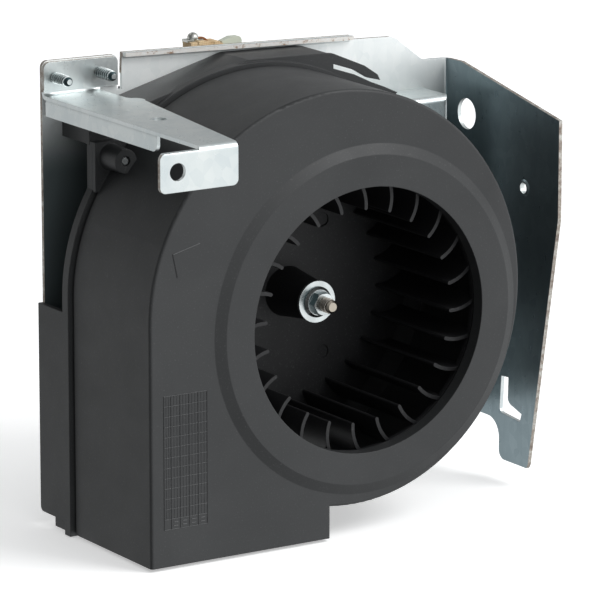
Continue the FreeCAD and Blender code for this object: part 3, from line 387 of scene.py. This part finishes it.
def painted_light_sheet(name, pale, dark, shade):
    """Front of the upright: pale and matt along the top as a painted highlight, turning to
    painted shade further down.
    """
    made = zinc_sheet(name, pale, dark, 0.40)
    made.shader.inputs["Metallic"].default_value = 0.5
    tint = made.shader.inputs["Base Color"].links[0].from_socket
    axes = made.tree.nodes.new("ShaderNodeSeparateXYZ")
    made.link(made.place, axes.inputs["Vector"])
    share = made.tree.nodes.new("ShaderNodeMapRange")
    share.interpolation_type = "SMOOTHSTEP"
    made.link(axes.outputs["Z"], share.inputs["Value"])
    # Painted shade below the first height, painted highlight above the second.
    share.inputs["From Min"].default_value = 0.050      # height where the dark part ends
    share.inputs["From Max"].default_value = 0.082      # height where the pale part starts
    made.colour(made.blend("MIX", share.outputs["Result"], shade, tint))
    return made


def plain_metal(name, colour, roughness, speckle=700, metallic=1.0, depth=0.00002):
    """Screws, shafts and castings: slight colour change and fine surface."""
    made = Material(name, colour, roughness, metallic)
    worn = tuple(c * 0.72 for c in colour)
    made.colour(made.ramp(made.noise(160, 2, 0.5), (0.3, worn), (0.7, colour)))
    made.rough(made.noise(speckle, 2, 0.5), roughness - 0.05, roughness + 0.08)
    made.soft_edges(0.00018)
    made.bump(made.noise(speckle, 2, 0.5), depth, 0.2)
    return made


def lamination():
    made = Material("laminated_steel", (0.30, 0.31, 0.32), 0.45, 0.9)
    layers = made.bands("Y", 0.0005)
    stain = made.noise(70, 4, 0.65)
    tint = made.ramp(stain, (0.35, (0.20, 0.20, 0.21)), (0.7, (0.36, 0.37, 0.38)))
    gaps = made.ramp(layers, (0.0, 0.45), (0.35, 1.0))
    made.colour(made.blend("MULTIPLY", 0.6, tint, gaps))
    made.rough(stain, 0.36, 0.58)
    made.soft_edges(0.0002)
    made.bump(layers, 0.00006, 0.7)
    return made


def wound_wire():
    made = Material("enamelled_wire", (0.42, 0.15, 0.05), 0.3, 0.55)
    turns = made.bands("X", 0.00042, 0.4)
    tint = made.ramp(turns, (0.0, (0.13, 0.035, 0.012)), (0.6, (0.50, 0.19, 0.06)))
    made.colour(tint)
    made.rough(made.noise(400, 3), 0.22, 0.4)
    made.bump(turns, 0.00022, 0.9)
    return made


def cloth_tape():
    made = Material("cloth_tape", (0.78, 0.58, 0.36), 0.72)
    weave_a = made.bands("X", 0.0007, 0.3)
    weave_b = made.bands("Z", 0.0007, 0.3)
    weave_c = made.bands("Y", 0.0007, 0.3)
    weave = made.blend("ADD", 0.7, made.blend("ADD", 1.0, weave_a, weave_b), weave_c)
    stain = made.noise(150, 4, 0.65)
    tint = made.ramp(stain, (0.3, (0.56, 0.36, 0.18)), (0.7, (0.86, 0.68, 0.44)))
    shade = made.ramp(weave_a, (0.0, 0.72), (0.6, 1.0))
    made.colour(made.blend("MULTIPLY", 0.6, tint, shade))
    made.rough(stain, 0.6, 0.85)
    made.bump(weave, 0.00012, 0.6)
    return made


def cut_edge(name, *stops):
    """Bare sheared edge of the sheet: matt and streaked, from stained to bright."""
    made = Material(name, stops[1][1], 0.5, 0.6)
    streak = made.noise(420, 4, 0.7)
    made.colour(made.ramp(streak, *stops))
    made.rough(streak, 0.35, 0.65)
    made.bump(streak, 0.00008, 0.6)
    return made


# ---------------------------------------------------------------------------
# Detail pieces
# ---------------------------------------------------------------------------
# x, z of the screws' axes
ARM_SCREWS = ((-87.0, 87.0), (-68.2, 87.2))
DUCT_SCREWS = ((-72.0, -22.0), (-38.0, -40.0))
SHELL_SCREWS = ((-76.8, 60.3), (-3.5, -75.5), (62.0, 50.0), (58.0, -50.0))


def face_marks(highlight_paint, shade_paint):
    """Raised date grid and corner mark on the housing's front face, without lettering.

    Lines that run across are painted paler as a painted highlight, and lines that run down are
    painted darker as painted shade.
    """
    front = 2.0             # the housing's front face
    rise = 0.12             # how far the lines stand out
    sunk = front + 0.2      # how deep they start
    line, thin, bar = 0.09, 0.045, 0.16     # half widths
    mark_width = 0.32
    columns = [-87.3, -84.3, -80.5, -76.7, -72.9, -69.1]
    top, bottom, rows = -17.3, -67.0, 13
    row_height = (top - bottom) / rows
    across = bmesh.new()
    down = bmesh.new()
    for x in columns:
        add_box(down, (x - line, front - rise, bottom), (x + line, sunk, top))
    for left, right in zip(columns, columns[1:]):
        for share in (0.33, 0.67):
            x = left + (right - left) * share
            add_box(down, (x - thin, front - rise / 2, bottom + row_height),
                    (x + thin, sunk, top))
    for i in range(rows + 1):
        z = bottom + row_height * i
        add_box(across, (columns[0], front - rise, z - line),
                (columns[-1], sunk, z + line))
    for left, right in zip(columns[1:], columns[2:]):
        middle = (left + right) / 2
        for z in (bottom + row_height * 0.32, bottom + row_height * 0.68):
            add_box(across, (middle - 0.9, front - rise, z - bar),
                    (middle + 0.9, sunk, z + bar))
    corner = (-83.07, 34.46)
    add_bar(across, corner, (-71.69, 37.36), mark_width, front - rise, sunk)
    add_bar(down, corner, (-81.21, 25.74), mark_width, front - rise, sunk)
    # The lines across take the painted highlight, the lines down the painted shade.
    finish_piece(add_mesh("face_lines_across", across), highlight_paint, "frame")
    finish_piece(add_mesh("face_lines_down", down), shade_paint, "frame")


def threads(shaft_look, zinc_look):
    mesh = bmesh.new()
    add_thread(mesh, (0, 0), root=2.5, crest=2.8, low=26.2, high=30.4, pitch=0.9,
               spread=0.15)
    finish_piece(add_mesh("shaft_thread", mesh), shaft_look, "rotor")
    mesh = bmesh.new()
    for x, z in ARM_SCREWS:
        add_thread(mesh, (x, z), root=1.7, crest=2.15, low=68.6, high=78.3, pitch=1.4,
                   spread=0.1)
    finish_piece(add_mesh("arm_screw_threads", mesh), zinc_look, "frame")
    mesh = bmesh.new()
    for x, z in DUCT_SCREWS:
        add_thread(mesh, (x, z), root=1.7, crest=1.95, low=72.2, high=79.6, pitch=1.2)
    finish_piece(add_mesh("duct_screw_threads", mesh), zinc_look, "frame")
    mesh = bmesh.new()
    for x, z in SHELL_SCREWS:
        add_thread(mesh, (x, z), root=1.2, crest=1.7, low=45.65, high=47.6, pitch=0.8,
                   steps=14)
    finish_piece(add_mesh("shell_screw_ends", mesh), zinc_look, "frame")


def coil_details(tape, wire):
    """A turn of tape round the fuse, its loose end, and the lead to the soldered cap."""
    mesh = bmesh.new()
    for low, high in (((-8.6, 105.6, 81.9), (-5.4, 112.9, 88.75)),
                      ((-1.6, 105.7, 81.9), (1.0, 112.8, 88.0)),
                      ((-10.4, 104.6, 79.9), (10.4, 105.6, 80.4))):
        add_box(mesh, low, high)
    piece = add_mesh("tape_turns", mesh)
    soften = piece.modifiers.new("soften", "BEVEL")
    soften.width = 0.15 * MM
    soften.segments = 2
    finish_piece(piece, tape, "frame")
    lead = tube_along("fuse_lead", [(-8.0, 109.0, 89.5), (-6.2, 108.6, 89.7),
                                    (-4.4, 108.4, 89.2), (-3.0, 108.6, 88.0)],
                      radius=0.45)
    finish_piece(lead, wire, "frame")


# ---------------------------------------------------------------------------
# Faces of the CAD nodes with a material of their own
# ---------------------------------------------------------------------------
# Limits for picking faces by their centre, in millimetres, and by their normal
FACING = 0.7            # a face that looks along an axis has at least this share of it
ACROSS = 0.3            # an edge that stands across an axis has at most this share of it
BEFORE_PLATE = 79.0     # y of all that lies in front of the upright
LIP_BOTTOM = 80.0       # z of all that belongs to the top lip
FLANGE = 87.5           # x of all that belongs to the side flange


def around(first, second, centre, reach):
    """True within reach of a hole's axis, for the two coordinates across it."""
    return math.hypot(first - centre[0], second - centre[1]) < reach


def plate_edge(spot, normal):
    """The side flange's outline, and the upright's left and top edges, without the holes."""
    if spot.x > FLANGE and spot.y < BEFORE_PLATE:
        slot = -58.0 < spot.z < -40.5 and 27.0 < spot.y < 43.0
        service_hole = around(spot.y, spot.z, (66.2, 57.2), 6.5)
        tapped_hole = around(spot.y, spot.z, (27.2, 34.9), 4.0)
        return abs(normal.x) < ACROSS and not (slot or service_hole or tapped_hole)
    if spot.z > LIP_BOTTOM and spot.y < BEFORE_PLATE:
        return False
    return abs(normal.y) < ACROSS and (spot.x < -91.0 or spot.z > 85.0)


def upright_front(spot, normal):
    return 79.5 < spot.y < 80.5 and normal.y < -FACING


def nut_flank(spot, normal):
    return abs(normal.y) < 0.5


def shaft_root(spot, normal):
    """The threaded front of the shaft, thinner than its shank."""
    return abs(normal.y) < 0.5 and around(spot.x, spot.z, (0, 0), 2.6)


def arm_screw_root(spot, normal):
    """The shanks of the two arm screws, without their heads."""
    shank = any(around(spot.x, spot.z, axis, 2.0) for axis in ARM_SCREWS)
    return shank and abs(normal.y) < 0.9


def shell_screw_end(spot, normal):
    return spot.y < 47.0


def lip_front(spot, normal):
    front = 76.0 < spot.y < BEFORE_PLATE and normal.y < -FACING
    return front and spot.z > LIP_BOTTOM and spot.x < 50.0


def flange_inside(spot, normal):
    return spot.x > 84.0 and spot.y < 81.0 and normal.x < -0.5


def arm_edge(spot, normal):
    """The outline of the upright and of the front tab."""
    if spot.y < -28.0 and spot.z < 79.0:
        hole = around(spot.x, spot.z, (-101.0, 72.4), 3.6)
        return abs(normal.y) < ACROSS and not hole
    return spot.z > 82.0 and abs(normal.y) < ACROSS


def dress_faces(item, material, picks):
    """Gives the faces that picks accepts another material."""
    item.data.materials.append(material.made)
    last = len(item.data.materials) - 1
    for face in item.data.polygons:
        if picks(face.center / MM, face.normal):
            face.material_index = last


# ---------------------------------------------------------------------------
# Build
# ---------------------------------------------------------------------------
make_camera()
scene.view_settings.view_transform = "Standard"
scene.view_settings.look = "None"

housing = moulded("housing_black", (0.026, 0.027, 0.028), (0.034, 0.035, 0.036), 0.46)
# Paler and darker copies of the housing plastic: painted highlight and painted shade for the
# raised marks.
housing_painted_highlight = moulded("housing_painted_highlight", (0.085, 0.086, 0.088), (0.10, 0.101, 0.103), 0.40)
housing_painted_shade = moulded("housing_painted_shade", (0.012, 0.012, 0.013), (0.018, 0.018, 0.019), 0.5)
# The impeller's plastic is painted darker than the housing's same plastic: painted shade inside
# the housing.
wheel_shade_paint = moulded("wheel_black_painted_shade", (0.008, 0.008, 0.009), (0.013, 0.013, 0.014), 0.46, 0.0003)
sheet = zinc_sheet("zinc_sheet", (0.68, 0.71, 0.70), (0.54, 0.59, 0.60), 0.30)
# A darker, bluer zinc for the inside of the side flange: painted shade and painted reflection of
# the black housing beside it.
flange_shade_paint = zinc_sheet("zinc_flange_painted_shade", (0.33, 0.41, 0.44), (0.24, 0.31, 0.34), 0.30)
# The upright's front: painted highlight along the top, painted shade further down.
front = painted_light_sheet("zinc_front_painted_light", (0.93, 0.95, 0.94), (0.80, 0.84, 0.84),
                    (0.11, 0.135, 0.14))
zinc = plain_metal("zinc_plate", (0.72, 0.76, 0.76), 0.26, 140)
# A near-black copy of the zinc: painted shade on the nut's flanks and in the arm screws' thread
# roots.
zinc_shade_paint = plain_metal("zinc_painted_shade", (0.07, 0.11, 0.12), 0.30, 140)
# Duller, less metallic zinc on the shell screws' tips, standing in for their glint: a painted
# highlight.
screw_tip_glint_paint = plain_metal("screw_tip_glint_paint", (0.40, 0.42, 0.42), 0.30, 900, 0.7, 0.0003)
# Near-black steel under the shaft's thread ridges: painted shade in the thread roots.
thread_root_painted_shade = plain_metal("thread_root_painted_shade", (0.07, 0.065, 0.06), 0.4)
thread_steel = plain_metal("thread_steel", (0.40, 0.37, 0.33), 0.32)
shaft = plain_metal("shaft_steel", (0.50, 0.45, 0.38), 0.28)
core = lamination()
nylon = moulded("nylon", (0.56, 0.60, 0.50), (0.66, 0.69, 0.60), 0.42, 0.0004)
winding = wound_wire()
tape = cloth_tape()
copper = plain_metal("bare_copper", (0.72, 0.36, 0.20), 0.32)
cast = plain_metal("die_cast", (0.56, 0.57, 0.58), 0.42, 420, 1.0, 0.00008)
cage = plain_metal("cast_ring", (0.62, 0.62, 0.62), 0.46, 300, 1.0, 0.0001)
bronze = plain_metal("sintered_bronze", (0.50, 0.34, 0.17), 0.5, 1400, 0.9, 0.00006)
spring = plain_metal("spring_steel", (0.42, 0.43, 0.45), 0.28)
tin = plain_metal("tin", (0.66, 0.66, 0.62), 0.24)
edge = cut_edge("sheared_edge", (0.32, (0.16, 0.12, 0.10)), (0.50, (0.36, 0.32, 0.28)),
                (0.68, (0.60, 0.60, 0.57)))
lip_edge = cut_edge("lip_edge", (0.34, (0.34, 0.22, 0.15)), (0.44, (0.74, 0.71, 0.67)),
                    (0.8, (0.82, 0.84, 0.84)))

FINISH = {
    "front_shell": housing, "rear_shell": housing, "impeller_disc": wheel_shade_paint,
    "impeller_blades": wheel_shade_paint, "impeller_ring": wheel_shade_paint,
    "impeller_washer": zinc, "flange_nut": zinc, "motor_shaft": shaft,
    "rear_plate": sheet, "arm_bracket": sheet, "motor_pan": sheet,
    "shell_screws": zinc, "pan_screws": zinc, "duct_screws": zinc, "arm_screws": zinc,
    "stator_core": core, "coil_limb": core, "shading_rings": copper, "coil_bobbin": nylon,
    "coil_winding": winding, "coil_tape": tape, "thermal_fuse": tape,
    "coil_terminal": tin, "terminal_tabs": tin,
    "rotor_core": core, "rotor_end_rings": cage, "thrust_spacers": nylon,
    "front_bearing": bronze, "rear_bearing": bronze, "front_bearing_bracket": cast,
    "rear_bearing_bracket": cast, "bearing_clips": spring, "bolt_washers": zinc,
    "through_bolts": zinc,
}
for name, item in nodes.items():
    item.data.materials.clear()
    item.data.materials.append(FINISH[name].made)

dress_faces(nodes["rear_plate"], edge, plate_edge)
# The upright's front faces get the painted highlight and painted shade.
dress_faces(nodes["rear_plate"], front, upright_front)
dress_faces(nodes["rear_plate"], lip_edge, lip_front)
# Painted shade on the inside of the side flange.
dress_faces(nodes["rear_plate"], flange_shade_paint, flange_inside)
dress_faces(nodes["arm_bracket"], edge, arm_edge)
# Painted shade on the nut's flanks and on the arm screws' shanks between their thread ridges.
dress_faces(nodes["flange_nut"], zinc_shade_paint, nut_flank)
# Painted shade in the roots of the shaft's thread.
dress_faces(nodes["motor_shaft"], thread_root_painted_shade, shaft_root)
dress_faces(nodes["arm_screws"], zinc_shade_paint, arm_screw_root)
# The painted glint on the shell screws' tips.
dress_faces(nodes["shell_screws"], screw_tip_glint_paint, shell_screw_end)
face_marks(housing_painted_highlight, housing_painted_shade)
threads(thread_steel, zinc)
coil_details(tape, winding)

make_world()
area_light("key", (0.9, -1.2, 1.5), width=0.9, height=0.9, power=19)
area_light("fill", (-0.6, -1.9, 0.5), width=1.0, height=1.0, power=0.2)
area_light("back", (-0.4, 1.4, 1.6), width=1.2, height=0.9, power=2)
make_floor()
